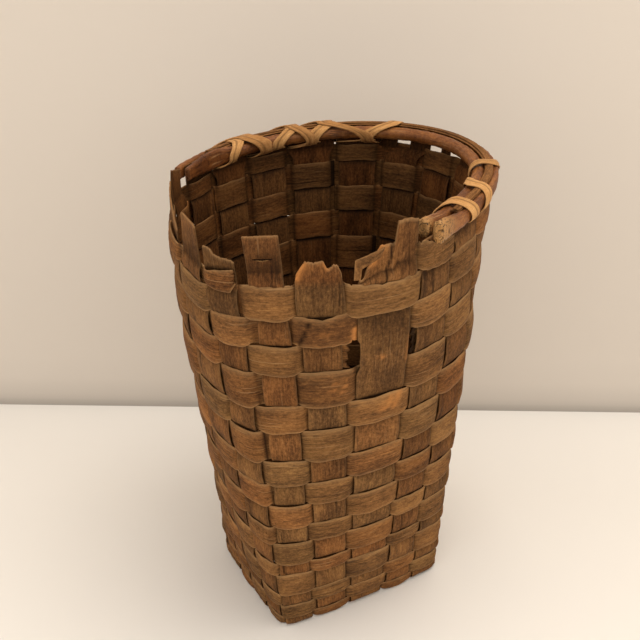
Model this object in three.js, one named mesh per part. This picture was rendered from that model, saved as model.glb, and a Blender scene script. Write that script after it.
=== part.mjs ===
// Tall splint basket: ten long splints cross under the floor and rise up the walls,
// seventeen flat weavers go round them over one and under one,
// and two hoops, two filler strips and a few lashing strips hold what is left of the rim.
// Millimetres, +Z up, the floor rests on z = 0.
import * as THREE from 'three';

// whole form
const HEIGHT = 460;
const FLOOR_LENGTH = 191;
const FLOOR_DEPTH = 160;
const RIM_RADIUS = 154;
const RIM_OVAL = 8.5;
const RIM_OVAL_TURN = -52;
const RIM_EGG = 2.2;
const RIM_EGG_TURN = 49;
const RIM_LEAN_X = -15.6;
const RIM_LEAN_Y = -18.7;
const RIM_TILT_X = 0.067;
const RIM_TILT_Y = -0.015;
const RIM_WAVE = 4;
const RIM_WAVE_TURN = 70;
const WALL_BULGE = 0.13;
// the rim stands higher round the front corner: amount, first and last column place
const FRONT_RISE = [14, -1.4, 3.6];
// where the hoops are gone the wall leans in: amount, first and last column place, from a height up
const SLUMPS = [[13, 15, 20], [8, 2.2, 6.4]];
const SLUMP_FOOT = 250;

// splints
const SPLINT = 1.4;
const CLEAR = 0.3;
const WEAVER_CROWN = 2.2;
const COLUMN_GAP = 0.09;
const ROW_GAP = 2;
const FLOOR_TURN = 5;
// a weaver's ends overlap over some columns, at a place that moves round the back from row to row
const JOINT_COLUMNS = 3;
const JOINT_FIRST = 6;
const JOINT_STEP = 3;
const JOINT_SPREAD = 8;

// corner radii of the floor: front, right, back, left
const FLOOR_CORNERS = [14, 14, 16, 27];
// stake widths along each side of the floor, from the front corner and round to the right
const FLOOR_WIDTHS = [[35, 40, 43, 35, 38], [32, 32, 32, 32, 32], [38, 38, 38, 38, 38], [32, 32, 32, 32, 32]];
// where each stake starts on the rim, in degrees from the front, to the right
const RIM_STARTS = [
  -56, -39, -21, 3, 21, 39, 57, 75, 93, 111,
  129, 147, 165, 183, 201, 219, 237, 255, 273, 291,
];
// weaver widths from the floor up
const WEAVER_WIDTHS = [10, 18, 17, 30, 17, 30, 23, 29, 27, 30, 36, 29, 37, 29, 27, 27, 17];
// torn stake tops: share across the stake from its left edge, and height above the rim line
const FREE_TOPS = {
  0: [[0, 9], [1, 12]],
  1: [[0, -26], [0.18, -13], [0.63, -12], [0.7, -18], [1, -20]],
  2: [[0, -9.5], [0.4, -2], [0.63, -3.5], [0.65, 18], [1, 15]],
  3: [[0, -8], [1, -8]],
  15: [[0, -1.5], [0.4, -1.5], [0.45, -20], [1, -22]],
  16: [[0, 2], [1, 0]],
  17: [[0, 4], [1, -12]],
  18: [[0, 16], [1, 15]],
  19: [[0, -2], [1, -15]],
};
// part of its column that a free top fills, left and right
const FREE_SPANS = { 0: [0.26, 0.9], 1: [0.08, 0.83], 18: [0.4, 0.97], 19: [0.2, 0.98] };
// a weaver's upper edge flares over the broken rim: column place and rise
const FLARED_WEAVERS = { 16: [[2.75, 16], [3.045, 11], [3.5, 3], [4, 0]] };
// weavers that are broken, with the columns where what is left starts and ends
const BROKEN_WEAVERS = { 13: [3, 21.9], 16: [2.75, 19.9] };

// rim
const INNER_HOOP = 13;
const OUTER_HOOP_WIDTH = 7;
const OUTER_HOOP_HEIGHT = 13;
const HOOP_START = 3.3;
const HOOP_END = 15.1;
const OUTER_HOOP_START = 3.3;
const OUTER_HOOP_END = 15.35;
// the inner hoop is shaved flat towards its left end
const FLAT_FROM = 14.2;
const FLAT_TO = 14.7;
const FLAT_WIDTH = 5;
const FLAT_HEIGHT = 18;
const INNER_HOOP_SIDES = 8;
const OUTER_HOOP_SIDES = 6;
const HOOP_SLACK = 0.4;
const BUNDLE_DROP = 7;
const BUNDLE_HALF_HEIGHT = 9.7;
const BUNDLE_SQUARENESS = 3;
const STAKE_END = 1.5;
const FILLER_START = 4.1;
const FILLER_END = 14.1;
const FILLER_LIFT = 1.2;
const FILLER_WIDTHS = [8, 6];
const FILLER_OUT = -1.2;
const FILLER_THICKNESS = 1.2;
const LASHING_WIDTH = 14;
const LASHING_THICKNESS = 1.2;
const LASHING_PINCH = 2.6;
const LASHING_LAYER = 1.2;
const LASHING_SLANT = 1.35;
const LASHING_STEPS = 12;
const HOOP_STEPS = 24;
const FILLER_STEPS = 12;

// each lashing strip passes over the rim from outside to inside, or the other way where it is turned:
// column line outside, column place on top, column place at the inner foot, column line inside
const LASHINGS = [
  { layer: 1, turned: false, passes: [[14, 13.4, 12.55, 13], [13, 12.25, 11.7, 12], [12, 11.2, 10.2, 10]] },
  { layer: 0, turned: true, passes: [[13, 13.2, 13.65, 14], [12, 12, 12.55, 13], [11, 11.15, 11.5, 12], [10, 9.7, 10.2, 11]] },
  { layer: 0, turned: true, passes: [[6, 6.62, 6.35, 7], [5, 5.2, 5.6, 6], [4, 4.35, 4.6, 5]] },
];

const SIDES = FLOOR_WIDTHS.length;
const PER_SIDE = FLOOR_WIDTHS[0].length;
const COLUMNS = SIDES * PER_SIDE;
const HALF_STEP = (SPLINT + CLEAR) / 2;
const LAYER_STEP = SPLINT + CLEAR;
const FLOOR_MIDDLE = SPLINT + CLEAR / 2;
const BUNDLE_MIDDLE = HEIGHT - BUNDLE_DROP;
const ROWS_TOP = BUNDLE_MIDDLE - BUNDLE_HALF_HEIGHT - 2 * (LASHING_THICKNESS + LASHING_LAYER) - CLEAR;

const rad = THREE.MathUtils.degToRad;

// running total of a list, scaled so that the whole is of the given length
function edges(widths, start, end) {
  const whole = widths.reduce((a, b) => a + b, 0);
  const list = [start];
  let sum = 0;
  for (const width of widths) {
    sum += width;
    list.push(start + (end - start) * sum / whole);
  }
  return list;
}

// straight lookup between the entries of a list
function between(list, place) {
  const i = Math.min(Math.floor(place), list.length - 2);
  return list[i] + (list[i + 1] - list[i]) * (place - i);
}

// straight lookup between points of a line, held level past both of its ends
function onLine(line, place) {
  const next = line.findIndex(([at]) => at > place);
  if (next === 0) return line[0][1];
  if (next < 0) return line[line.length - 1][1];
  const [[a, low], [b, high]] = [line[next - 1], line[next]];
  return low + (high - low) * (place - a) / (b - a);
}

const sideLengths = [FLOOR_LENGTH, FLOOR_DEPTH, FLOOR_LENGTH, FLOOR_DEPTH];
const sideEdges = FLOOR_WIDTHS.map((widths, k) => edges(widths, 0, sideLengths[k]));
const rowEdges = edges(WEAVER_WIDTHS, FLOOR_TURN, ROWS_TOP);
const ROWS = WEAVER_WIDTHS.length;
const flare = (row, u) => (FLARED_WEAVERS[row] && u < COLUMNS / 2 ? onLine(FLARED_WEAVERS[row], u) : 0);
const rowFoot = (row) => rowEdges[row] + ROW_GAP / 2;
const rowHead = (row, u) => rowEdges[row + 1] - ROW_GAP / 2 + flare(row, u);

// a point of the floor outline: a rectangle with round corners, walked from the front corner
function floorPoint(u) {
  const place = THREE.MathUtils.euclideanModulo(u, COLUMNS);
  const side = Math.floor(place / PER_SIDE);
  const length = sideLengths[side];
  const along = between(sideEdges[side], place - side * PER_SIDE);
  const half = length / 2;
  const out = sideLengths[(side + 1) % SIDES] / 2;
  const fromEnd = Math.min(along, length - along);
  const p = new THREE.Vector2(along - half, -out);
  const radius = FLOOR_CORNERS[along < half ? side : (side + 1) % SIDES];
  if (fromEnd < radius) {
    const turn = rad(45) * (1 - fromEnd / radius);
    const reach = half - radius + radius * Math.sin(turn);
    p.x = along < half ? -reach : reach;
    p.y = -(out - radius + radius * Math.cos(turn));
  }
  return p.rotateAround(new THREE.Vector2(), side * Math.PI / 2);
}

// angle of a column place on the rim, from the front to the right
function rimAngle(u) {
  return rad(between([...RIM_STARTS, RIM_STARTS[0] + 360], THREE.MathUtils.euclideanModulo(u, COLUMNS)));
}

// a point of the rim line, slightly out of round and leaning to the front corner
function rimPoint(u) {
  const a = rimAngle(u);
  const radius = RIM_RADIUS + RIM_OVAL * Math.cos(2 * (a - rad(RIM_OVAL_TURN)))
    + RIM_EGG * Math.cos(3 * (a - rad(RIM_EGG_TURN)));
  return new THREE.Vector2(radius * Math.sin(a) + RIM_LEAN_X, -radius * Math.cos(a) + RIM_LEAN_Y);
}

// a smooth hump over a stretch of columns
function hump([amount, first, last], u) {
  const middle = (first + last) / 2;
  const place = THREE.MathUtils.euclideanModulo(u - middle + COLUMNS / 2, COLUMNS) - COLUMNS / 2;
  const share = THREE.MathUtils.clamp(0.5 + place / (last - first), 0, 1);
  return amount * Math.sin(Math.PI * share) ** 2;
}

// the middle surface of the wall: straight lines from floor to rim with a slight bulge,
// with a rim that waves up and down and a wall that leans in where the hoops are gone
function wallPoint(u, z) {
  const h = z / HEIGHT;
  const g = h + WALL_BULGE * h * (1 - h);
  const a = rimAngle(u);
  const lean = Math.max(0, (z - SLUMP_FOOT) / (HEIGHT - SLUMP_FOOT)) ** 2;
  const slump = lean * SLUMPS.reduce((sum, each) => sum + hump(each, u), 0);
  const p = floorPoint(u).lerp(rimPoint(u), g).add(new THREE.Vector2(-slump * Math.sin(a), slump * Math.cos(a)));
  const wave = RIM_WAVE * Math.cos(2 * (a - rad(RIM_WAVE_TURN))) + hump(FRONT_RISE, u);
  const lift = (RIM_TILT_X * p.x + RIM_TILT_Y * p.y + wave) * h * h * h;
  return new THREE.Vector3(p.x, p.y, z + lift);
}

// outward normal of the wall
function wallNormal(u, z) {
  const along = wallPoint(u + 0.002, z).sub(wallPoint(u - 0.002, z));
  const up = wallPoint(u, z + 0.5).sub(wallPoint(u, z - 0.5));
  return along.cross(up).normalize();
}

function wall(u, z, offset) {
  return wallPoint(u, z).addScaledVector(wallNormal(u, z), offset);
}

const leftEdge = (column) => column + COLUMN_GAP / 2;
const rightEdge = (column) => column + 1 - COLUMN_GAP / 2;
const over = (row, column) => (row + column) % 2 === 1;

// a point over the flat chord of a column, which its stake and the weavers that cross it share
function onChord(column, u, z, offset) {
  const [from, to] = [leftEdge(column), rightEdge(column)];
  return wall(from, z, offset).lerp(wall(to, z, offset), (u - from) / (to - from));
}

// skins a row of equal closed sections, with the quads of chosen edges split the other way
function sweep(sections, turned) {
  const n = sections[0].length;
  const points = sections.flat();
  const faces = [];
  for (let s = 0; s < sections.length - 1; s++) {
    for (let k = 0; k < n; k++) {
      const a = s * n + k;
      const b = s * n + (k + 1) % n;
      if (turned[k]) faces.push([a, b, a + n], [b, b + n, a + n]);
      else faces.push([a, b, b + n], [a, b + n, a + n]);
    }
  }
  const last = points.length - n;
  for (let k = 0; k < n / 2 - 1; k++) {
    const [a, b, c, d] = [k, k + 1, n - 2 - k, n - 1 - k];
    faces.push([a, c, b], [a, d, c]);
    faces.push([last + a, last + b, last + c], [last + a, last + c, last + d]);
  }
  return solid(points, faces);
}

// a closed geometry whose faces point out
function solid(points, faces) {
  let volume = 0;
  for (const [a, b, c] of faces) volume += points[a].dot(points[b].clone().cross(points[c]));
  const index = faces.flatMap(([a, b, c]) => (volume > 0 ? [a, b, c] : [a, c, b]));
  const geometry = new THREE.BufferGeometry();
  geometry.setAttribute('position', new THREE.Float32BufferAttribute(points.flatMap((p) => p.toArray()), 3));
  geometry.setIndex(index);
  geometry.computeVertexNormals();
  return geometry;
}

// a flat section of a splint, with points at the given shares from its left edge to its right
function splintSection(left, right, offset, shares = [0, 1]) {
  const normal = (t) => left.normal.clone().lerp(right.normal, t);
  const at = (t, d) => left.point.clone().lerp(right.point, t).addScaledVector(normal(t), offset + d);
  const half = SPLINT / 2;
  return [...shares.map((t) => at(t, half)), ...shares.toReversed().map((t) => at(t, -half))];
}

// whether a weaver is there to cross a column, or has broken away
function crosses(row, column) {
  const broken = BROKEN_WEAVERS[row];
  if (!broken) return true;
  return [column, column + COLUMNS].some((c) => c + 1 > broken[0] && c < broken[1]);
}

// sections of one stake up its wall, from the floor to its torn or cut top
function stakeSections(column, mirrored, shares) {
  const top = FREE_TOPS[column] ?? [[0, -STAKE_END], [1, -STAKE_END]];
  const lowest = HEIGHT + Math.min(...top.map(([, rise]) => rise)) - ROW_GAP;
  const full = [leftEdge(column), rightEdge(column)];
  const free = (FREE_SPANS[column] ?? [COLUMN_GAP / 2, 1 - COLUMN_GAP / 2]).map((share) => column + share);
  const list = [];
  const add = ([uA, uB], z, offset) => {
    const [a, b] = [uA, uB].map((u) => ({ point: wallPoint(u, z), normal: wallNormal(u, z) }));
    list.push(mirrored ? splintSection(b, a, offset, shares) : splintSection(a, b, offset, shares));
  };
  // the last section follows the top line, square above the one below it
  const end = ([uA, uB], offset) => {
    const [a, b] = mirrored ? [uB, uA] : [uA, uB];
    const lines = shares.map((t) => {
      const z = HEIGHT + onLine(top, mirrored ? 1 - t : t);
      const normal = wallNormal(a, z).lerp(wallNormal(b, z), t);
      return { point: wallPoint(a, z).lerp(wallPoint(b, z), t), normal };
    });
    const at = ({ point, normal }, d) => point.clone().addScaledVector(normal, offset + d);
    const half = SPLINT / 2;
    list.push([...lines.map((line) => at(line, half)), ...lines.toReversed().map((line) => at(line, -half))]);
  };
  let height = 0;
  for (let row = 0; row < ROWS && rowFoot(row) < lowest; row++) {
    if (!crosses(row, column)) continue;
    const offset = over(row, column) ? -HALF_STEP : HALF_STEP;
    const head = rowHead(row, column);
    add(full, rowFoot(row), offset);
    if (head > lowest) {
      end(full, offset);
      return list;
    }
    add(full, head, offset);
    height = head + ROW_GAP;
  }
  add(free, height, 0);
  end(free, 0);
  return list;
}

// where two straight lines on the floor cross
function crossing(a, b, c, d) {
  const ab = b.clone().sub(a);
  const cd = d.clone().sub(c);
  const t = c.clone().sub(a).cross(cd) / ab.cross(cd);
  return a.clone().addScaledVector(ab, t);
}

// the floor lines of the two families: one runs front to back, the other left to right
const floorLines = (u, v) => [floorPoint(u), floorPoint(v)];
const lengthwise = (k) => ({
  left: floorLines(leftEdge(k), rightEdge(3 * PER_SIDE - 1 - k)),
  right: floorLines(rightEdge(k), leftEdge(3 * PER_SIDE - 1 - k)),
});
const crosswise = (k) => ({
  left: floorLines(rightEdge(COLUMNS - 1 - k), leftEdge(PER_SIDE + k)),
  right: floorLines(leftEdge(COLUMNS - 1 - k), rightEdge(PER_SIDE + k)),
});

// sections of one long splint across the floor, over one and under one
function floorSections(own, others, parity, shares) {
  const down = new THREE.Vector3(0, 0, -1);
  const list = [];
  others.forEach((other, m) => {
    const offset = (m + parity) % 2 === 0 ? -HALF_STEP : HALF_STEP;
    for (const line of [other.left, other.right]) {
      const [left, right] = [own.left, own.right].map((edge) => {
        const p = crossing(...edge, ...line);
        return { point: new THREE.Vector3(p.x, p.y, FLOOR_MIDDLE), normal: down };
      });
      list.push(splintSection(left, right, offset, shares));
    }
  });
  return list;
}

// the turn of a splint from floor to wall, half way round the bottom edge
function turnSection([uA, uB], shares) {
  const edge = (u) => {
    const normal = wallNormal(u, FLOOR_MIDDLE).add(new THREE.Vector3(0, 0, -1)).normalize();
    return { point: wallPoint(u, FLOOR_MIDDLE).addScaledVector(normal, -SPLINT / 2), normal };
  };
  return splintSection(edge(uA), edge(uB), 0, shares);
}

// where the top lines of a splint's two ends bend, as shares across it
function bendShares(first, second, mirrored) {
  const bends = (column, turned) => (FREE_TOPS[column] ?? []).map(([share]) => (turned ? 1 - share : share));
  const all = [0, 1, ...bends(first, mirrored), ...bends(second, !mirrored)].sort((a, b) => a - b);
  return all.filter((share, k) => k === 0 || share - all[k - 1] > 0.001);
}

// a long splint: down one wall, across the floor and up the opposite wall
function longSplint(first, second, own, others, parity, mirrored) {
  const shares = bendShares(first, second, mirrored);
  const downWall = stakeSections(first, mirrored, shares).reverse();
  const upWall = stakeSections(second, !mirrored, shares);
  const ends = (column) => [leftEdge(column), rightEdge(column)];
  const turnA = turnSection(mirrored ? ends(first).reverse() : ends(first), shares);
  const turnB = turnSection(mirrored ? ends(second) : ends(second).reverse(), shares);
  const sections = [...downWall, turnA, ...floorSections(own, others, parity, shares), turnB, ...upWall];
  const across = shares.length - 1;
  const outer = (k) => k < across;
  const inner = (k) => k > across && k <= 2 * across;
  return sweep(sections, sections[0].map((_, k) => (mirrored ? inner(k) : outer(k))));
}

// a weaver: plain rings overlap over three columns, broken ones stop where they broke
function weaver(row) {
  const broken = BROKEN_WEAVERS[row];
  const near = JOINT_FIRST + (row * JOINT_STEP) % JOINT_SPREAD;
  const joint = near + (over(row, near) ? 1 : 0);
  const whole = [joint, joint + COLUMNS + JOINT_COLUMNS - 1];
  const [first, last] = broken ? [Math.floor(broken[0]), Math.ceil(broken[1]) - 1] : whole;
  const sections = [];
  const half = SPLINT / 2;
  const add = (column, u, offset) => sections.push([
    onChord(column, u, rowFoot(row), offset + half),
    onChord(column, u, rowHead(row, u), offset + half),
    onChord(column, u, rowHead(row, u), offset - half),
    onChord(column, u, rowFoot(row), offset - half),
  ]);
  for (let column = first; column <= last; column++) {
    const outside = over(row, column);
    const starting = !broken && column < first + JOINT_COLUMNS;
    const ending = !broken && column > last - JOINT_COLUMNS;
    let offset = outside ? HALF_STEP : -HALF_STEP;
    if (starting && !outside) offset -= LAYER_STEP;
    if (ending && outside) offset += LAYER_STEP;
    const from = broken ? Math.max(leftEdge(column), broken[0]) : leftEdge(column);
    const to = broken ? Math.min(rightEdge(column), broken[1]) : rightEdge(column);
    add(column, from, offset);
    if (outside) add(column, (from + to) / 2, offset + WEAVER_CROWN);
    add(column, to, offset);
  }
  return sweep(sections, [false, false, true, false]);
}

// frame of the rim bundle at a place on the rim: out from the wall, and up along it
function rimFrame(u) {
  const normal = wallNormal(u, BUNDLE_MIDDLE);
  const up = wallPoint(u, BUNDLE_MIDDLE + 0.5).sub(wallPoint(u, BUNDLE_MIDDLE - 0.5)).normalize();
  return { centre: wallPoint(u, BUNDLE_MIDDLE), normal, up };
}

function onRim(u, out, rise) {
  const { centre, normal, up } = rimFrame(u);
  return centre.addScaledVector(normal, out).addScaledVector(up, rise);
}

// flat stakes lie inside the round rim line by the height of their chord
const CHORD = RIM_RADIUS * (1 - Math.cos(rad(180 / COLUMNS)));
const INNER_OUT = -(SPLINT / 2 + CHORD + CLEAR + HOOP_SLACK + INNER_HOOP / 2);
const OUTER_OUT = SPLINT / 2 + 2 * CLEAR + OUTER_HOOP_WIDTH / 2;

// an oval band along the rim from one column place to another, flat towards its end if asked
function rimBand(start, end, out, width, height, sides, flattens) {
  const sections = [];
  for (let s = 0; s <= HOOP_STEPS; s++) {
    const u = start + (end - start) * s / HOOP_STEPS;
    const flat = flattens ? THREE.MathUtils.smoothstep(u, FLAT_FROM, FLAT_TO) : 0;
    const wide = THREE.MathUtils.lerp(width, FLAT_WIDTH, flat);
    const tall = THREE.MathUtils.lerp(height, FLAT_HEIGHT, flat);
    const middle = out + (width - wide) / 2;
    const ring = [];
    for (let k = 0; k < sides; k++) {
      const a = (k + 0.5) / sides * 2 * Math.PI;
      ring.push(onRim(u, middle + wide / 2 * Math.cos(a), tall / 2 * Math.sin(a)));
    }
    sections.push(ring);
  }
  return sweep(sections, []);
}

// a thin flat strip laid on the tops of the stakes between the hoops
function filler(width, rise) {
  const sections = [];
  const half = width / 2;
  for (let s = 0; s <= FILLER_STEPS; s++) {
    const u = FILLER_START + (FILLER_END - FILLER_START) * s / FILLER_STEPS;
    const at = (side, lift) => onRim(u, FILLER_OUT + side * half, rise + lift);
    sections.push([at(-1, 0), at(1, 0), at(1, FILLER_THICKNESS), at(-1, FILLER_THICKNESS)]);
  }
  return sweep(sections, []);
}

const BUNDLE_INSIDE = INNER_OUT - INNER_HOOP / 2 - CLEAR;
const BUNDLE_OUTSIDE = OUTER_OUT + OUTER_HOOP_WIDTH / 2 + CLEAR;
const BUNDLE_CENTRE = (BUNDLE_INSIDE + BUNDLE_OUTSIDE) / 2;
const BUNDLE_HALF_WIDTH = (BUNDLE_OUTSIDE - BUNDLE_INSIDE) / 2 + 3 * CLEAR;
const PITCH = 2 * Math.PI * RIM_RADIUS / COLUMNS;
const BUNDLE_GIRTH = Math.PI * (BUNDLE_HALF_WIDTH + BUNDLE_HALF_HEIGHT);

// a point on the rounded skin of the rim bundle, at an angle from the outside over the top
function onBundle(u, angle, proud) {
  const blunt = (x) => Math.sign(x) * Math.abs(x) ** (2 / BUNDLE_SQUARENESS);
  const out = BUNDLE_CENTRE + (BUNDLE_HALF_WIDTH + proud) * blunt(Math.cos(angle));
  return onRim(u, out, (BUNDLE_HALF_HEIGHT + proud) * blunt(Math.sin(angle)));
}

// smooth step between two places as the strip goes round
function ease(from, to, t) {
  const k = THREE.MathUtils.clamp(t, 0, 1);
  return from + (to - from) * k * k * (3 - 2 * k);
}

// where a pass stands on the rim at a turn from 0, at the outer foot, to 1, at the inner foot
function passPlace([outer, top, foot, inner], t) {
  if (t < 0.5) return ease(outer, top, (t - 0.1) / 0.4);
  if (t < 0.8) return ease(top, foot, (t - 0.5) / 0.3);
  return ease(foot, inner, (t - 0.8) / 0.12);
}

// a lashing strip, cut square to the rim all along and narrow where it slips between two stakes
function lashing({ layer, turned, passes }) {
  const proud = LASHING_LAYER / 2 + layer * (LASHING_THICKNESS + LASHING_LAYER);
  const path = [];
  passes.forEach((pass, m) => {
    for (let s = m === 0 ? 0 : 1; s <= LASHING_STEPS; s++) {
      const t = turned ? 1 - s / LASHING_STEPS : s / LASHING_STEPS;
      const angle = -Math.PI / 2 + 2 * Math.PI * t;
      const pinch = Math.min(t, 1 - t);
      const width = ease(LASHING_PINCH, LASHING_WIDTH, (pinch - 0.06) / 0.2);
      path.push({ u: passPlace(pass, t), angle: angle + (turned ? -m : m) * 2 * Math.PI, width });
    }
  });
  const sections = path.map((here, k) => {
    const before = path[Math.max(0, k - 1)];
    const after = path[Math.min(path.length - 1, k + 1)];
    const along = (after.u - before.u) * PITCH;
    const around = (after.angle - before.angle) / (2 * Math.PI) * BUNDLE_GIRTH;
    const slant = Math.min(Math.hypot(along, around) / Math.abs(around), LASHING_SLANT);
    const half = here.width / 2 * slant / PITCH;
    const corner = (side, lift) => onBundle(here.u + side * half, here.angle, proud + lift);
    const inside = [-1, 0, 1].map((side) => corner(side, 0));
    const outside = [1, 0, -1].map((side) => corner(side, LASHING_THICKNESS));
    return [...inside, ...outside];
  });
  return sweep(sections, []);
}

const basket = new THREE.Group();
const wood = (color, roughness) => new THREE.MeshStandardMaterial({ color, roughness, metalness: 0 });
const stakeWood = wood(0x86603c, 0.8);
const weaverWood = wood(0x97704a, 0.75);
const hoopWood = wood(0x8a5530, 0.6);
const lashingWood = wood(0xc49868, 0.6);

function addPiece(name, geometry, material) {
  const mesh = new THREE.Mesh(geometry, material);
  mesh.name = name;
  basket.add(mesh);
}

const sideOrder = [...Array(PER_SIDE).keys()];
for (const k of sideOrder) {
  addPiece(`long_splint_${k + 1}`,
    longSplint(k, 3 * PER_SIDE - 1 - k, lengthwise(k), sideOrder.map(crosswise), k, false), stakeWood);
  addPiece(`cross_splint_${k + 1}`,
    longSplint(COLUMNS - 1 - k, PER_SIDE + k, crosswise(k), sideOrder.map(lengthwise), k + 1, true), stakeWood);
}
for (let row = 0; row < ROWS; row++) {
  addPiece(`weaver_${String(row + 1).padStart(2, '0')}`, weaver(row), weaverWood);
}
addPiece('inner_hoop',
  rimBand(HOOP_START, HOOP_END, INNER_OUT, INNER_HOOP, INNER_HOOP, INNER_HOOP_SIDES, true), hoopWood);
const outerHoop = [OUTER_HOOP_START, OUTER_HOOP_END, OUTER_OUT, OUTER_HOOP_WIDTH, OUTER_HOOP_HEIGHT];
addPiece('outer_hoop', rimBand(...outerHoop, OUTER_HOOP_SIDES, false), hoopWood);
FILLER_WIDTHS.forEach((width, k) => {
  const rise = HEIGHT - STAKE_END - BUNDLE_MIDDLE + FILLER_LIFT + k * (FILLER_THICKNESS + CLEAR);
  addPiece(`rim_filler_${k + 1}`, filler(width, rise), stakeWood);
});
LASHINGS.forEach((strip, k) => addPiece(`lashing_${k + 1}`, lashing(strip), lashingWood));

basket.updateMatrixWorld(true);
const box = new THREE.Box3().setFromObject(basket);
const middle = box.getCenter(new THREE.Vector3());
basket.position.set(-middle.x, -middle.y, 0);

export default basket;
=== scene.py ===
import math
from functools import partial

import bpy
import numpy as np
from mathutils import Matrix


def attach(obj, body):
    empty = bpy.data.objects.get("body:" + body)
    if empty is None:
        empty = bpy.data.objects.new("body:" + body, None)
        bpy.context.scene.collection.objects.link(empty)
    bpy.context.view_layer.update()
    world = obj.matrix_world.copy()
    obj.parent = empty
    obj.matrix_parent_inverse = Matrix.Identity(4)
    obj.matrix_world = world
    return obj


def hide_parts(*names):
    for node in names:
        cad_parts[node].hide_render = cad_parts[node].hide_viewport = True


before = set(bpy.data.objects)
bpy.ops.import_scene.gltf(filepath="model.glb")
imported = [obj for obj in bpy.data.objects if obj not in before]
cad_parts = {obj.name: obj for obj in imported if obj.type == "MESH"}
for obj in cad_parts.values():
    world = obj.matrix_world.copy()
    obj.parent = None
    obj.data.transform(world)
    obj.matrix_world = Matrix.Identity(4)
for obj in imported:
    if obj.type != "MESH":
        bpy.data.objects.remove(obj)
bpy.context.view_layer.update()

# the woven wall, in millimetres and degrees; places round it are counted in columns from the front corner
form = dict(
    height=460, floorSides=[191, 160, 191, 160], floorCorners=[14, 14, 16, 27], wallBulge=0.13,
    rimRadius=154, rimOval=8.5, rimOvalTurn=-52, rimEgg=2.2, rimEggTurn=49,
    rimLean=(-15.6, -18.7), rimTilt=(0.067, -0.015), rimWave=4, rimWaveTurn=70,
    rimStarts=[-56, -39, -21, *range(3, 292, 18)],
    # amount, first and last place of each
    slumps=[(13, 15, 20), (8, 2.2, 6.4)], slumpFoot=250, frontRise=(14, -1.4, 3.6),
    floorWidths=[[35, 40, 43, 35, 38], [32] * 5, [38] * 5, [32] * 5],
    rowWidths=[10, 18, 17, 30, 17, 30, 23, 29, 27, 30, 36, 29, 37, 29, 27, 27, 17],
    shift=(9.83, 10.41), floorTurn=5, rowsTop=438.2, columns=20, columnGap=0.09, columnWidth=40,
)
# what all strips share; edge shares are of the thickness, crowding draws grid lines to the crossings
splint = dict(
    thickness=1.4, layer=0.85, floorMiddle=1.55, edgeShares=(0.35, 0.85), edgeStep=0.018,
    crowding=0.72, crownSpread=0.25,
)
columnCount = form["columns"]
perSide = columnCount // 4


def runningEdges(widths, start, end):
    # running total of the widths, scaled to lie between start and end
    total = np.concatenate([[0], np.cumsum(widths)])
    return start + (end - start) * total / total[-1]


sideEdges = np.array([runningEdges(w, 0, side) for w, side in zip(form["floorWidths"], form["floorSides"])])
rowEdges = runningEdges(form["rowWidths"], form["floorTurn"], form["rowsTop"])
rowCount = len(form["rowWidths"])


def floorPoint(u):
    # rectangle with round corners, walked from the front corner, a quarter of the columns to a side
    place = np.mod(u, columnCount)
    side = np.minimum((place // perSide).astype(int), 3)
    inSide = place - perSide * side
    i = np.clip(inSide.astype(int), 0, perSide - 1)
    along = sideEdges[side, i] + (sideEdges[side, i + 1] - sideEdges[side, i]) * (inSide - i)
    lengths, corners = np.array(form["floorSides"], float), np.array(form["floorCorners"], float)
    length = lengths[side]
    half, out = length / 2, lengths[(side + 1) % 4] / 2
    radius = np.where(along < half, corners[side], corners[(side + 1) % 4])
    fromEnd = np.minimum(along, length - along)
    turn = np.radians(45) * clamp(1 - fromEnd / radius)
    reach = half - radius + radius * np.sin(turn)
    rounded = fromEnd < radius
    x = np.where(rounded, np.where(along < half, -reach, reach), along - half)
    y = np.where(rounded, -(out - radius + radius * np.cos(turn)), -out)
    a = side * math.pi / 2
    return x * np.cos(a) - y * np.sin(a), x * np.sin(a) + y * np.cos(a)


def rimDegrees(u):
    # direction of each place on the rim, straight between the column boundaries
    starts = [*form["rimStarts"], form["rimStarts"][0] + 360]
    return np.interp(np.mod(u, columnCount), np.arange(columnCount + 1), starts)


def rimPoint(u):
    # circle with a slight oval and egg term, leaning to the front corner
    degrees = rimDegrees(u)
    radius = (form["rimRadius"] + form["rimOval"] * np.cos(2 * np.radians(degrees - form["rimOvalTurn"]))
              + form["rimEgg"] * np.cos(3 * np.radians(degrees - form["rimEggTurn"])))
    a = np.radians(degrees)
    return radius * np.sin(a) + form["rimLean"][0], -radius * np.cos(a) + form["rimLean"][1]


def clamp(x):
    return np.clip(x, 0, 1)


def rampUp(x, span):
    # 0 before the start of a span and 1 after its length, straight between
    return clamp((x - span[0]) / span[1])


def lineAt(x, line):
    # height at x of a line drawn through (x, height) points
    return np.interp(x, *np.array(line).T)


def aroundFrom(u, centre=0):
    # signed number of columns from a place, the short way round
    return np.mod(u - centre + columnCount / 2, columnCount) - columnCount / 2


def hump(size, u):
    # amount times a squared sine between its first and last place
    amount, first, last = size
    away = aroundFrom(u, (first + last) / 2)
    return amount * np.sin(math.pi * clamp(0.5 + away / (last - first))) ** 2


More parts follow.
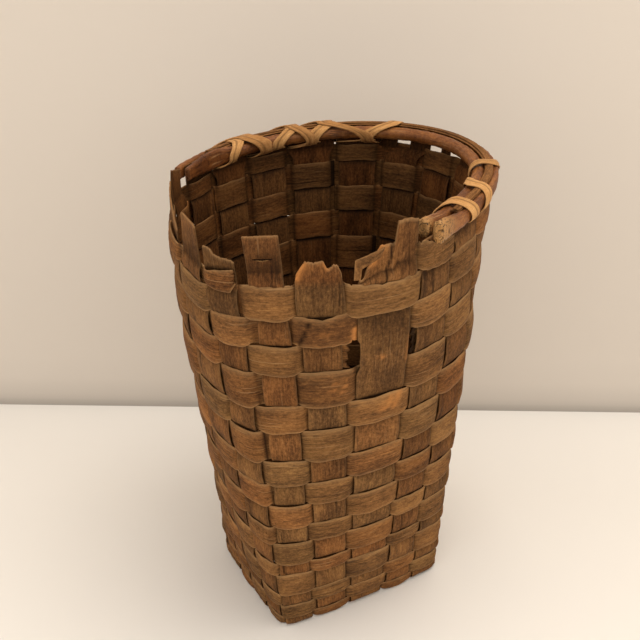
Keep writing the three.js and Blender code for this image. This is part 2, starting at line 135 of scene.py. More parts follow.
def wallPoint(u, z):
    # straight from the floor outline to the rim outline with a slight bulge, slumped near the top, its rim tilted
    u, z = np.broadcast_arrays(np.asarray(u, float), np.asarray(z, float))
    h = z / form["height"]
    g = h + form["wallBulge"] * h * (1 - h)
    fx, fy = floorPoint(u)
    rx, ry = rimPoint(u)
    x, y = fx + (rx - fx) * g, fy + (ry - fy) * g
    turn = np.radians(rimDegrees(u))
    slump = sum(hump(size, u) for size in form["slumps"])
    slump = slump * np.clip((z - form["slumpFoot"]) / (form["height"] - form["slumpFoot"]), 0, None) ** 2
    x, y = x - slump * np.sin(turn), y + slump * np.cos(turn)
    wave = form["rimWave"] * np.cos(2 * (turn - math.radians(form["rimWaveTurn"]))) + hump(form["frontRise"], u)
    lift = (form["rimTilt"][0] * x + form["rimTilt"][1] * y + wave) * h ** 3
    return np.stack([x, y, z + lift], -1)


def wallUp(u, z):
    # run of the wall over one millimetre of height
    return wallPoint(u, z + 0.5) - wallPoint(u, z - 0.5)


def wallNormal(u, z):
    n = np.cross(wallPoint(u + 0.002, z) - wallPoint(u - 0.002, z), wallUp(u, z))
    return n / np.linalg.norm(n, axis=-1, keepdims=True)


def offWall(u, z, offset):
    # wall point moved outwards along the normal
    return wallPoint(u, z) + wallNormal(u, z) * np.asarray(offset)[..., None]


def facet(u, z, offset, flatness):
    # blends the true wall with its chord over each column, because a splint lies flat across its width
    column = np.floor(u)
    f = u - column
    g = form["columnGap"] / 2
    low = np.where(f < g, column - g, np.where(f > 1 - g, column + 1 - g, column + g))
    high = np.where(f < g, column + g, np.where(f > 1 - g, column + 1 + g, column + 1 - g))
    t = ((u - low) / (high - low))[..., None]
    a, b = offWall(low, z, offset), offWall(high, z, offset)
    return (a + (b - a) * t) * flatness + offWall(u, z, offset) * (1 - flatness)


def waves(x, seed, lengths, size):
    # smooth seeded unevenness: a sum of sines of the given wave lengths
    rng = np.random.default_rng(seed)
    out = np.zeros(np.shape(x))
    for length in lengths:
        out += np.sin(2 * math.pi * np.asarray(x, float) / length + rng.uniform(0, 6.3)) * rng.uniform(0.5, 1)
    return out * size / len(lengths)


def unevenness(x, y, seed, size):
    # shallow dents: products of slow seeded waves along and across a strip
    return (waves(x, seed, [47, 21], size)[:, None] * waves(y, seed + 1, [33, 17], 2)
            + waves(x, seed + 2, [13, 8.3], size * 0.5)[:, None] * waves(y, seed + 3, [15, 9], 2))


def bites(x, seed, size):
    # small torn notches: only the upper part of a quick seeded wave counts
    return size * np.clip(waves(x, seed, [9, 4.3, 2.6, 1.7], 4), 0, None) ** 0.7


def bulge(look, over, f, size, flat=1):
    # distance off the wall: out over a crossing and in under one, arched further in the middle
    crown = np.where(over, look["crown"] * flat, look["innerCrown"]) * (1 + splint["crownSpread"] * size)
    return np.where(over, 1.0, -1.0) * (splint["layer"] * plateau(f) + crown * arch(f))


def crossTone(seed, row, column):
    # each crossing of a strip differs a little, by a seeded table of numbers from -1 to 1
    table = np.random.default_rng(seed).uniform(-1, 1, (rowCount + 2, columnCount * 3))
    return table[row, np.mod(column, columnCount * 3)]


def between(x, start, end, ramp):
    # 1 between two places, falling to 0 over a ramp inside each
    return clamp(np.minimum(x - start, end - x) / ramp)


def plateau(f, ramp=0.09):
    # 0 at both ends of a crossing and 1 over most of it
    t = between(f, 0, 1, ramp)
    return t * t * (3 - 2 * t)


def arch(f, power=0.75):
    # half a sine wave, made fuller by a power under 1
    return np.sin(math.pi * clamp(f)) ** power


def ease(a, b, x, span):
    # smooth step from a to b over a span
    k = rampUp(x, span)
    return a + (b - a) * k * k * (3 - 2 * k)


def fade(distance, reach):
    # 1 at no distance, falling off with the reach
    return np.exp(-distance / reach)


def nearEdges(v, low, high):
    # 1 at both edges of a strip, each falling off with its own reach
    return np.maximum(fade(v, low), fade(1 - v, high))


def crossingDirtAndShade(f, tight, wide):
    # painted shade with some dirt, thick close to both ends of a crossing, thin further in
    return np.maximum(nearEdges(f, tight, tight), 0.42 * nearEdges(f, wide, wide))


def crowded(t):
    # draws steps together near whole numbers
    return t - splint["crowding"] * np.sin(2 * math.pi * t) / (2 * math.pi)


def acrossSteps(m):
    # shares across a strip, close together at both edges
    t = np.linspace(0, 1, m - 2)
    return np.concatenate([[0], np.clip(t, splint["edgeStep"], 1 - splint["edgeStep"]), [1]])


def pathLength(points):
    # running length along a line of points
    return np.concatenate([[0], np.cumsum(np.linalg.norm(np.diff(points, axis=0), axis=1))])


def markLines(u, z, marks):
    # how close each point is to a drawn line, as a soft stroke of its strength
    total, scale = np.zeros(np.shape(u)), np.array([form["columnWidth"], 1])
    for line, half, strength in marks:
        points = np.array(line, float) * scale
        nearest = np.full(np.shape(u), np.inf)
        for a, b in zip(points[:-1], points[1:]):
            p = np.stack([u, z], -1) * scale - a
            t = clamp((p @ (b - a)) / ((b - a) @ (b - a)))
            nearest = np.minimum(nearest, np.linalg.norm(p - t[..., None] * (b - a), axis=-1))
        total = np.maximum(total, strength * np.exp(-(nearest / half) ** 2))
    return total


def closedStrip(middle, thickness, layers):
    # outer and inner copies of a grid of middle points, half the thickness to each side and
    # thinner at both worn edges, joined along all four edges
    n, m = middle.shape[:2]
    share = np.ones(m)
    share[[0, -1]], share[[1, -2]] = splint["edgeShares"]
    normal = np.cross(np.gradient(middle, axis=0), np.gradient(middle, axis=1))
    normal = normal / np.maximum(np.linalg.norm(normal, axis=-1, keepdims=True), 1e-9)
    half = normal * (thickness * share / 2)[:, None]
    points = np.concatenate([(middle + half).reshape(-1, 3), (middle - half).reshape(-1, 3)])
    ids = np.arange(n * m).reshape(n, m)
    top = np.stack([ids[:-1, :-1], ids[1:, :-1], ids[1:, 1:], ids[:-1, 1:]], -1).reshape(-1, 4)
    under = top[:, ::-1] + n * m
    ring = np.concatenate([ids[0, :-1], ids[:-1, -1], ids[-1, :0:-1], ids[:0:-1, 0]])
    after = np.roll(ring, -1)
    side = np.stack([ring, after, after + n * m, ring + n * m], -1)
    smooth = np.concatenate([np.ones(2 * len(top), bool), np.zeros(len(side), bool)])
    values = {key: np.concatenate([np.broadcast_to(v, (n, m)).ravel()] * 2) for key, v in layers.items()}
    values["inside"] = np.repeat([0.0, 1.0], n * m)
    return {"points": points, "quads": np.concatenate([top, under, side]), "smooth": smooth, "values": values}


def newObject(name, data):
    # an object linked to the scene
    item = bpy.data.objects.new(name, data)
    bpy.context.scene.collection.objects.link(item)
    return item


# along and across place the grain, in metres; the others are shares that the material reads
attributeNames = ["along", "across", "edge", "tuck", "inside", "tone", "hue", "dark", "pale"]


def addPiece(name, strips, material, node):
    # one object from closed strips: vertices in metres, its own grain attributes, riding on the basket
    quads, base = [], 0
    for s in strips:
        # faces that enclose a negative volume point inwards, and are turned round
        p = s["points"][s["quads"]]
        volume = (p[:, 0] * (np.cross(p[:, 1], p[:, 2]) + np.cross(p[:, 2], p[:, 3]))).sum()
        quads.append((s["quads"] if volume > 0 else s["quads"][:, ::-1]) + base)
        base += len(s["points"])
    points = np.concatenate([s["points"] for s in strips]) + np.array([*form["shift"], 0])
    mesh = bpy.data.meshes.new(name)
    mesh.from_pydata(points / 1000, [], np.concatenate(quads))
    mesh.polygons.foreach_set("use_smooth", np.concatenate([s["smooth"] for s in strips]))
    for key in attributeNames:
        parts = [np.broadcast_to(s["values"].get(key, 0.0), len(s["points"])) for s in strips]
        layer = mesh.attributes.new(key, "FLOAT", "POINT")
        layer.data.foreach_set("value", np.concatenate(parts).astype(np.float32))
    mesh.validate()
    mesh.materials.append(material)
    piece = newObject(name, mesh)
    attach(piece, "root")
    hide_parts(node)


# noises of the wood: scale along, across and through a strip, detail, roughness and shift, and for
# a patchy one the level from which it counts and how steeply it then rises to 1
grainNoises = dict(
    fibre=((80, 680, 40), 4, 0.75, 0), streak=((14, 240, 40), 5, 0.72, 3.1),
    fleck=((330, 520, 40), 3, 0.75, 9.1), stain=((24, 52, 30), 3, 0.55, 7.7),
    broad=((7, 11, 30), 2, 0.5, 5.3), lumps=((55, 120, 40), 3, 0.55, 1.3),
    scratch=((17, 800, 40), 2, 0.5, 11.3, 0.6, 9), scratchPatch=((30, 48, 30), 2, 0.5, 13.9, 0.47, 7),
    split=((6, 210, 40), 2, 0.5, 17.1), splitPatch=((14, 40, 30), 2, 0.5, 19.7, 0.5, 8),
    pit=((300, 520, 40), 2, 0.6, 23.3, 0.52, 12),
)


def newMaterial(name):
    # an empty material and a function that adds a node to it: settings by name, and each input
    # fed with another node's output, a colour or a number
    material = bpy.data.materials.new(name)
    material.use_nodes = True
    nodes, links = material.node_tree.nodes, material.node_tree.links
    nodes.clear()

    def add(kind, inputs, result=0, **settings):
        node = nodes.new("ShaderNode" + kind)
        for key, item in settings.items():
            setattr(node, key, item)
        for key, item in inputs.items():
            socket = node.inputs[key]
            if isinstance(item, bpy.types.NodeSocket):
                links.new(item, socket)
            else:
                socket.default_value = (*item, 1) if socket.type == "RGBA" else item
        return node.outputs[result] if node.outputs else None

    return material, add


def colourRamp(add, source, stops):
    out = add("ValToRGB", {0: source})
    elements = out.node.color_ramp.elements
    for element, (place, colour) in zip(elements, (stops[0], stops[-1])):
        element.position, element.color = place, (*colour, 1)
    for place, colour in stops[1:-1]:
        elements.new(place).color = (*colour, 1)
    return out


def splintMaterial(name, look):
    # wood grained along each splint's own length, read from its attributes: long thin noise for fibres,
    # wide noise for stains, and painted shade, mixed with some grime, where a strip is tucked under another
    material, add = newMaterial(name)

    def value(attribute):
        return add("Attribute", {}, "Fac", attribute_name=attribute)

    def calc(operation, a, b=0.0, clamped=False):
        return add("Math", {0: a, 1: b}, operation=operation, use_clamp=clamped)

    plus, minus, times = (partial(calc, operation) for operation in ("ADD", "SUBTRACT", "MULTIPLY"))

    def weighted(*parts):
        # sum of each output times its weight
        total = times(*parts[-1])
        for part in parts[-2::-1]:
            total = plus(times(*part), total)
        return total

    def mix(factor, a, b, blend="MIX"):
        return add("Mix", {0: factor, 6: a, 7: b}, 2, data_type="RGBA", blend_type=blend)

    inside = times(value("inside"), look["insideShift"])
    position = add("CombineXYZ", {0: value("along"), 1: value("across"), 2: inside})

    def noise(kind):
        scale, detail, rough, shift = grainNoises[kind][:4]
        place = add("Mapping", {"Scale": scale, "Location": (shift, shift * 1.7, shift * 0.6), "Vector": position})
        return add("TexNoise", {"Scale": 1.0, "Detail": detail, "Roughness": rough, "Vector": place}, "Fac")

    def level(kind):
        start, steepness = grainNoises[kind][4:]
        return times(minus(noise(kind), start), steepness, True)

    fibre, streak, fleck, stain = (noise(kind) for kind in ("fibre", "streak", "fleck", "stain"))
    grain = weighted((fibre, 0.36), (streak, 0.20), (fleck, 0.44))
    colour = colourRamp(add, weighted((grain, 0.66), (stain, 0.22), (noise("broad"), 0.12)), look["stops"])
    # each crossing leans a little to a redder or a greyer brown, and is lighter or darker
    redder = plus(0.5, times(value("hue"), 0.5), True)
    colour = mix(redder, mix(1.0, colour, look["cool"], "MULTIPLY"), mix(1.0, colour, look["red"], "MULTIPLY"))
    bright = plus(1.0, times(value("tone"), look["toneSpread"]))
    colour = add("HueSaturation", {"Value": bright, "Color": colour})
    # pale scratched fibres and thin dark splits, both only in patches
    scratch = times(level("scratch"), level("scratchPatch"))
    away = calc("ABSOLUTE", minus(noise("split"), 0.5))
    split = times(minus(1.0, times(away, look["splitSteepness"]), True), level("splitPatch"))
    grimeAndShade = times(value("tuck"), plus(0.65, times(stain, 0.6)), True)
    # coats in the order they are laid on the wood, some of them painted shade or highlight: how much of each, its
    # colour, and how it is laid on
    coats = [
        (times(scratch, look["scratch"]), "wearAndHighlightColour", "MIX"),
        (times(split, look["split"]), "dirtAndShade", "MIX"),
        # painted shade where a strip tucks under its neighbour, roughened by the stain noise as grime
        (times(grimeAndShade, look["grimeAndShade"]), "dirtAndShade", "MIX"),
        # edges lightened as wear and as a painted highlight, wider along the upper edge that faces the light
        (times(value("edge"), times(plus(fibre, 0.25), look["wearAndHighlight"]), True), "wearAndHighlightColour", "MIX"),
        (times(value("inside"), look["insideDark"]), "inside", "MULTIPLY"),
        (times(value("pale"), plus(fleck, 0.35), True), "tornColour", "MIX"),
        (times(value("pale"), times(level("pit"), look["pits"]), True), "dirtAndShade", "MIX"),
        # dark marks: real splits and stains, with painted shade lines and slivers
        (value("dark"), "dirtAndShade", "MIX"),
    ]
    for amount, coat, blend in coats:
        colour = mix(amount, colour, look[coat], blend)
    rough = plus(look["roughness"], times(minus(streak, 0.5), look["roughnessSpread"]), True)
    relief = weighted((fibre, 0.45), (noise("lumps"), 0.9), (split, -0.6), (streak, 0.5))
    normal = add("Bump", {"Strength": look["bump"], "Distance": look["bumpSize"], "Height": relief})
    inputs = {"Base Color": colour, "Roughness": rough, "Specular IOR Level": look["gloss"], "Normal": normal}
    add("OutputMaterial", {"Surface": add("BsdfPrincipled", inputs)})
    return material


weaverWood = dict(
    stops=[(0.395, (0.052, 0.026, 0.012)), (0.465, (0.118, 0.056, 0.022)),
              (0.515, (0.186, 0.088, 0.032)), (0.595, (0.31, 0.155, 0.055))],
    cool=(0.97, 1.01, 0.97), red=(1.1, 0.94, 0.8), toneSpread=0.18, grimeAndShade=0.92,
    dirtAndShade=(0.011, 0.005, 0.002), wearAndHighlight=0.75, wearAndHighlightColour=(0.4, 0.23, 0.1),
    tornColour=(0.5, 0.2, 0.055), pits=0.0, scratch=0.7, split=0.75,
    insideDark=0.9, inside=(0.66, 0.58, 0.52), roughness=0.68, gloss=0.04, bump=0.7,
    insideShift=0.31, splitSteepness=45, roughnessSpread=0.35, bumpSize=0.0007,
)
stakeWood = dict(
    weaverWood, wearAndHighlight=0.55, scratch=0.25, split=0.6,
    stops=[(0.395, (0.047, 0.023, 0.01)), (0.465, (0.106, 0.049, 0.019)),
              (0.515, (0.17, 0.079, 0.029)), (0.595, (0.285, 0.139, 0.049))],
)
hoopWood = dict(
    weaverWood, insideDark=0.0, roughness=0.52, gloss=0.3, bump=0.9,
    tornColour=(0.5, 0.26, 0.085), pits=0.9,
    stops=[(0.39, (0.05, 0.014, 0.003)), (0.46, (0.13, 0.042, 0.009)),
              (0.52, (0.205, 0.073, 0.017)), (0.6, (0.32, 0.135, 0.034))],
)
lashingWood = dict(
    weaverWood, insideDark=0.7, roughness=0.5, bump=0.35, grimeAndShade=0.8, split=0.4, toneSpread=0.1,
    stops=[(0.38, (0.235, 0.112, 0.038)), (0.46, (0.385, 0.2, 0.075)),
              (0.52, (0.495, 0.27, 0.106)), (0.61, (0.64, 0.385, 0.17))],
)
weaverSplint = splintMaterial("agedWeaverSplint", weaverWood)
stakeSplint = splintMaterial("agedStakeSplint", stakeWood)
peeledHoop = splintMaterial("peeledHoopWood", hoopWood)
paleLashing = splintMaterial("paleLashingSplint", lashingWood)
print("materials done")

# weavers
weaverLook = dict(
    crown=4.2, innerCrown=0.9, inward=0.2, flatRows=[(1, 0.72), (11, 1)], flatness=0.7,
    # an over block's lower and upper edge swell by belly and lift, and its lower corners are cut by pinch
    belly=2.8, lift=-1.1, liftTop=0.8, topRows=14, liftSpread=1.2, swellPower=0.55,
    pinch=2.2, pinchAbove=0.35, pinchSpan=(-2.2, 5.2, 0.4), pinchReach=0.22, pinchEnd=0.03,
    overreach=0.075, crossingReach=0.25, edgeOut=0.2, edgeIn=0.3, calmRamp=0.3,
    pillow=0.14, topIn=(0.3, 0.55), footIn=(0.15, 0.3), tilt=(0.48, 0.64), uneven=0.35,
    sway=0.7, wave=0.45, nick=0.22, raggedRamp=0.08, tornReach=0.25, tornSize=0.09,
    perColumn=20, across=15, lap=3,
)
# first and last place of the two broken weavers
brokenWeavers = {13: (3.0, 21.84), 16: (2.75, 20.12)}
# crossings that sit off their column boundary: place along the weaver and shift
crossingShifts = {15: [(21.93, 0.07)], 16: [(20.05, -0.1), (19.0, -0.24)]}
# tone and hue of a loose end
looseCrossings = {(16, 19): (-0.5, 1.4)}
# rise of a weaver's upper edge and of its lower edge where they leave the row, by place along it
flares = {
    14: ([(20.9, 0), (21.05, 1.5), (21.5, -2.5), (21.95, 4.5), (22.05, 4), (22.15, 0)], [(0, 0)]),
    15: ([(19.9, 0), (20.16, 5), (20.64, 2.6), (21.06, 4.5), (21.2, 0), (21.7, 0), (21.81, 6), (22.1, 2.6),
          (22.38, 0), (22.6, 0), (22.89, 4.5), (23.1, 3), (23.3, 0)], [(0, 0)]),
    16: ([(2.75, 16), (3.045, 15), (3.5, 6), (4, 2), (7.6, 0), (8.1, 2), (9.6, 2), (10, 0), (19.0, 0), (19.28, -4),
          (19.5, -1.5), (19.75, 0.5), (20.12, 1.2)],
         [(2.75, 7), (3.0, 5.5), (3.9, 1), (4.4, 0), (19.05, 0), (19.24, 2), (19.54, 1), (19.92, 0.5), (20.06, 8),
          (20.12, 12)]),
}
# places where an over block is ragged: first and last place, size of the bites on its upper and lower edge
ragged = {
    14: [(1.1, 2.1, 0.5, 1.0)], 15: [(1.9, 3.0, 1.5, 0.3), (0.1, 1.1, 0.5, 0.2)],
    16: [(2.8, 4.0, 1.0, 0.4), (19.1, 19.9, 0.3, 0.3)],
}
# the weave sits to the right of even columns round the front left corner: shift of each column boundary, by height
boundaryShifts = {
    -2: [(200, 0), (290, 0.08), (320, 0.11), (380, 0.07), (412, 0.06), (425, 0)],
    -1: [(200, 0), (250, 0.1), (290, 0.17), (320, 0.22), (380, 0.14), (412, 0.13), (425, 0)],
    0: [(40, -0.05), (90, 0.02), (150, 0.11), (215, 0.13), (350, 0.16), (380, 0.2), (412, 0.18), (425, 0)],
    1: [(40, 0.02), (90, 0.05), (150, 0.08), (290, 0.09), (350, 0.07), (380, 0.04), (412, -0.02), (425, 0)],
}
# splits and stains by row: line of (column, height) points, half width in millimetres, strength
weaverMarks = {
    11: [([(1.6, 290), (1.95, 293)], 0.5, 0.35)],
    12: [([(3.1, 318), (3.8, 322)], 0.5, 0.4)],
    14: [([(1.27, 389.5), (1.16, 377), (1.11, 371)], 1.1, 1.0), ([(1.11, 372), (1.1, 368)], 1.4, 0.9),
         ([(1.3, 378), (1.9, 377)], 0.5, 0.4)],
    15: [([(2.1, 405), (2.5, 402), (2.9, 406)], 0.5, 0.4)],
}
# raw wood on the weavers, in the same form
weaverPale = {
    11: [([(2.6, 285), (2.7, 297)], 2.0, 0.7), ([(2.74, 284), (2.84, 299)], 2.0, 0.7),
         ([(2.5, 284), (2.56, 292)], 1.6, 0.5)],
    12: [([(1.6, 318), (1.9, 322)], 0.8, 0.6), ([(1.65, 313), (1.92, 317)], 0.8, 0.6),
         ([(1.6, 324), (1.92, 328)], 0.7, 0.5)],
    14: [([(2.03, 366), (2.04, 380)], 2.2, 1.0), ([(1.45, 379), (1.6, 379)], 1.8, 0.4)],
    15: [([(14.1, 408), (15.2, 424)], 6, 0.55)],
}


def sideShift(u, z):
    # shift of the weave at each place and height, straight between the column boundaries
    near = aroundFrom(u)
    total = np.zeros(np.broadcast(u, z).shape)
    for boundary, line in boundaryShifts.items():
        total = total + clamp(1 - np.abs(near - boundary)) * lineAt(z, line)
    return total


def weaverStrip(row, first, last):
    # ring of splint: over one column and under the next, arched over each stake and higher there
    look, m = weaverLook, weaverLook["across"]
    u = crowded(np.linspace(first, last, int(round((last - first) * look["perColumn"])) + 1))
    mm = u * form["columnWidth"]
    w = u + sum(shift * np.exp(-((u - centre) / look["crossingReach"]) ** 2)
                for centre, shift in crossingShifts.get(row, []))
    w = w - look["overreach"] * np.cos(math.pi * (u + row))
    w = w - sideShift(u, (rowEdges[row] + rowEdges[row + 1]) / 2)
    column = np.floor(np.clip(w, first, last - 1e-6)).astype(int)
    f = w - column
    over = (row + column) % 2 == 1
    flat = lineAt(row, look["flatRows"])
    offset = bulge(look, over, f, crossTone(71, row, column), flat) - look["inward"]
    if row not in brokenWeavers:
        # a whole weaver's last stakes lie over its first
        lapped = np.where(u < first + look["lap"], -1, np.where(u > last - look["lap"], 1, 0))
        offset = offset + splint["layer"] * lapped
    swell = over * arch(f, look["swellPower"])
    # lower corners are cut on the front, where only the dark inside lies behind
    pinch = look["pinch"] * between(aroundFrom(u), *look["pinchSpan"]) * over
    pinch = pinch * (1 - plateau(f, look["pinchReach"])) * plateau(f, look["pinchEnd"])
    calm = plateau(f, look["calmRamp"])
    drawn = look["edgeOut"] - look["edgeIn"] * calm
    sway = calm * look["sway"] * waves(mm, row + 31, [73, 39], 1.6)
    lift = look["liftTop" if row >= look["topRows"] else "lift"] + look["liftSpread"] * crossTone(74, row, column)
    low = rowEdges[row] - drawn - look["belly"] * swell + pinch + sway
    high = rowEdges[row + 1] + drawn + lift * swell - look["pinchAbove"] * pinch + sway
    low = low + calm * waves(mm, row * 7 + 1, [31, 19], look["wave"])
    low = low + calm * waves(mm, row + 3, [9, 5.3, 3.1], look["nick"])
    high = high + calm * waves(mm, row * 7 + 2, [29, 17], look["wave"])
    high = high + calm * waves(mm, row + 4, [8, 4.7, 2.9], look["nick"])
    if row in flares:
        high, low = (side + lineAt(u, line) for side, line in zip((high, low), flares[row]))
    for start, end, above, below in ragged.get(row, []):
        for turn in (0, columnCount):
            part = between(u - turn, start, end, look["raggedRamp"])
            high = high - part * bites(mm, row * 3 + 5, above)
            low = low + part * bites(mm, row * 3 + 6, below)
    v = acrossSteps(m)
    z = low[:, None] + (high - low)[:, None] * v
    uu = np.repeat(u[:, None], m, 1)
    if row in brokenWeavers:
        # both broken ends run out in uneven fibres
        torn = waves(v * 40, row + 77, [13, 7, 3.7], look["tornSize"])
        for distance, fibres in ((u - first, torn), (last - u, torn[::-1])):
            uu = uu + clamp(1 - distance / look["tornReach"])[:, None] * fibres
    # both edges of an over block lie closer to the stake behind it than its middle does
    (topIn, topFrom), (footIn, footTo) = look["topIn"], look["footIn"]
    pillow = (1 - look["pillow"] * (2 * v - 1) ** 2 - topIn * clamp((v - topFrom) / (1 - topFrom)) ** 2
              - footIn * clamp((footTo - v) / footTo) ** 2)
    lean = (look["tilt"][0] + look["tilt"][1] * crossTone(72, row, column)) * swell
    off = offset[:, None] * np.where(over[:, None], pillow, 1) + lean[:, None] * (0.5 - v)
    off = off + unevenness(mm, v * 30, row + 131, look["uneven"])
    tone, hue = crossTone(11, row, column), crossTone(12, row, column)
    for (looseRow, looseColumn), (ownTone, ownHue) in looseCrossings.items():
        here = (row == looseRow) & (column == looseColumn)
        tone, hue = np.where(here, ownTone, tone), np.where(here, ownHue, hue)
    # painted shade at both ends of a crossing, deeper at the left end, where the stake to its left casts its shadow
    tuck = crossingDirtAndShade(f, 0.05, 0.17) * np.where(f < 0.5, 1, 0.55)
    place = np.mod(uu, columnCount)
    return closedStrip(facet(uu, z, off, look["flatness"]), splint["thickness"], {
        "along": mm[:, None] / 1000 + row * 3.7, "across": (z - rowEdges[row]) / 1000 + row * 0.113,
        "edge": nearEdges(v, 0.045, 0.07) * plateau(f)[:, None],
        "tuck": tuck[:, None], "tone": tone[:, None], "hue": hue[:, None],
        "dark": markLines(place, z, weaverMarks.get(row, [])), "pale": markLines(place, z, weaverPale.get(row, [])),
    })


for row in range(rowCount):
    joint = 6 + (row * 3) % 8  # the lap moves round the back from row to row and starts behind a stake
    joint = joint + (row + joint) % 2
    name = f"weaver_{row + 1:02d}"
    strip = weaverStrip(row, *brokenWeavers.get(row, (joint, joint + columnCount + weaverLook["lap"])))
    addPiece(f"woven_{name}", [strip], weaverSplint, name)
print("weavers done")

# stakes: widths in columns, heights and runs up the wall in millimetres
stakeLook = dict(
    crown=2.2, innerCrown=0.5, inward=0.1, flatness=0.85, pillow=0.1, uneven=0.3,
    narrow=0.048, spread=0.0096, hiddenSpread=0.09, hiddenRun=(430, 6), wave=0.01, nick=0.004,
    seam=0.85, seamRise=0.3, seamReach=0.8, drop=2.0, freeRun=60, topAged=(424, 8),
    hiddenTop=[(0, -1.5), (1, -1.5)], topNick=0.5, tailDepth=3, tailSteps=16, inset=(150, 60),
    perRow=9, across=31, grainWidth=0.044, bitWidth=45,
    floorSpan=(0.03, 0.97), floorSteps=61, floorRamp=0.12, turnSteps=5, turnHeight=1.2,
)
# stakes that are narrower on their left than the others
stakeInset = {0: 0.08}
# torn tops: share across the stake from its left edge, and height over the rim height
freeTops = {
    0: [(0, 9), (0.5, 9.5), (0.96, 9.5), (1, 9)],
    1: [(0, -27), (0.03, -22), (0.07, -20), (0.1, -17), (0.16, -15), (0.2, -12), (0.4, -12.5), (0.58, -11.5),
        (0.63, -12), (0.66, -18), (0.7, -18.5), (0.82, -15), (0.88, -15), (0.94, -17), (1, -26)],
    2: [(0, -34), (0.07, -33), (0.13, -24), (0.21, -18), (0.3, -8), (0.36, -3.5), (0.5, -4), (0.62, -3.4),
        (0.64, 16), (0.8, 17), (1, 15)],
    3: [(0, -8), (1, -8)],
    15: [(0, 1), (1, 9.5)],
    16: [(0, 2), (1, 0)],
    17: [(0, 4), (1, -12)],
    18: [(0, 15), (0.1, 16.5), (0.9, 16.5), (1, 14)],
    19: [(0, -2.5), (0.04, -1.7), (0.25, -3.3), (0.37, -9), (0.64, -11), (0.95, -12), (1, -14.5)],
}
# fibre size of the tops that are torn most
topNicks = {1: 1.1, 2: 1.1, 19: 1.1}
# tone and hue of a loose top: its own weathering
looseTones = {
    0: (-1.1, 1.6), 1: (-0.8, 1.2), 2: (-0.7, 0.3), 3: (-1.2, 1), 15: (0, 0), 16: (0.6, -0.4), 17: (0, 0),
    18: (0.3, 0.1), 19: (-1.8, -0.6),
}
# left and right edge of a stake near its top, by height
freeSides = {
    0: ([(395, 0.08), (423, 0.29), (471, 0.23)], [(395, 0.93), (423, 0.91), (471, 0.85)]),
    1: ([(380, 0.06), (433, 0.08), (450, 0.1)], [(380, 0.9), (432, 0.83), (450, 0.82)]),
    2: ([(400, 0.07), (425, 0.08), (478, 0.1)], [(400, 0.95), (450, 0.95), (478, 0.93)]),
    7: ([(425, 0.05), (438, -0.02)], [(425, 0.94), (438, 0.8)]),
    8: ([(425, 0.05), (438, 0.2)], [(425, 0.94), (438, 0.43)]),
    9: ([(425, 0.05), (438, -0.24)], [(425, 0.94), (438, 0.27)]),
    10: ([(425, 0.05), (438, -0.41)], [(425, 0.94), (438, 0.97)]),
    15: ([(405, 0.06), (437, 0.37), (471, 0.34)], [(405, 0.94), (442, 1.02), (471, 0.9)]),
    18: ([(395, 0.1), (419, 0.22), (476, 0.34)], [(395, 0.97), (440, 1.03), (476, 0.99)]),
    19: ([(395, 0.05), (420, 0.12), (462, 0.16)], [(380, 0.94), (396, 1.05), (447, 1.05)]),
}
# the open split in the right face: its lower end and height, and how far a stake's edge draws back from it
openSplit = dict(span=(331, 38), ramp=0.16, rightEdges={1: 0.075}, leftEdges={2: 0.045})
# splits and stains, in the form of the weavers'
stakeMarks = {
    0: [([(0.22, 84), (0.22, 104)], 1.0, 0.9)],
    1: [([(1.35, 440), (1.37, 400)], 0.7, 0.35), ([(1.66, 441), (1.68, 397)], 0.6, 0.3)],
    2: [([(2.56, 456), (2.54, 443), (2.49, 434), (2.46, 415)], 0.9, 1.0),
        ([(2.08, 355), (2.86, 355.5)], 0.8, 0.4), ([(2.55, 396), (2.52, 366)], 17, 0.3)],
    3: [([(3.42, 421), (3.36, 410), (3.45, 396)], 0.9, 0.9), ([(3.16, 420), (3.14, 396)], 0.8, 0.6)],
    18: [([(18.69, 457), (18.69, 452)], 1.6, 1.0)],
}
# raw wood where fibres tore away
stakePale = {
    1: [([(1.09, 434), (1.12, 440), (1.2, 446)], 3.2, 1.0), ([(1.54, 447), (1.6, 441)], 1.2, 0.6)],
    2: [([(2.24, 441), (2.3, 448), (2.38, 456)], 3.5, 1.0), ([(2.3, 343), (2.4, 344)], 0.8, 0.9),
        ([(2.46, 345), (2.56, 346)], 0.7, 0.8), ([(2.92, 364), (2.9, 350), (2.89, 335)], 0.9, 0.4)],
}
# torn bits on the stakes, by column: lower line, upper line, offsets, own look
stakeBits = {
    # the first bit is a dark sheet: painted shadow round the lighter torn bit lying over it
    0: [([(0.4, 449.5), (0.57, 448.3), (0.74, 449.5)], [(0.4, 449.7), (0.57, 450.4), (0.74, 449.7)],
         [1.5, 2.2, 1.5], {"dark": 1.0}),
        ([(0.47, 449.0), (0.58, 448.4), (0.68, 449.2)], [(0.47, 449.6), (0.58, 449.3), (0.68, 449.8)],
         [2.0, 2.9, 2.0], {"tone": -1.5, "hue": -1})],
    2: [([(2.1, 430), (2.11, 440.5), (2.36, 448.3)], [(2.01, 430), (2.02, 448.9), (2.41, 457.1)],
         [3.2, 3.6, 1.6], {"tone": 0.2, "hue": -0.5})],
}


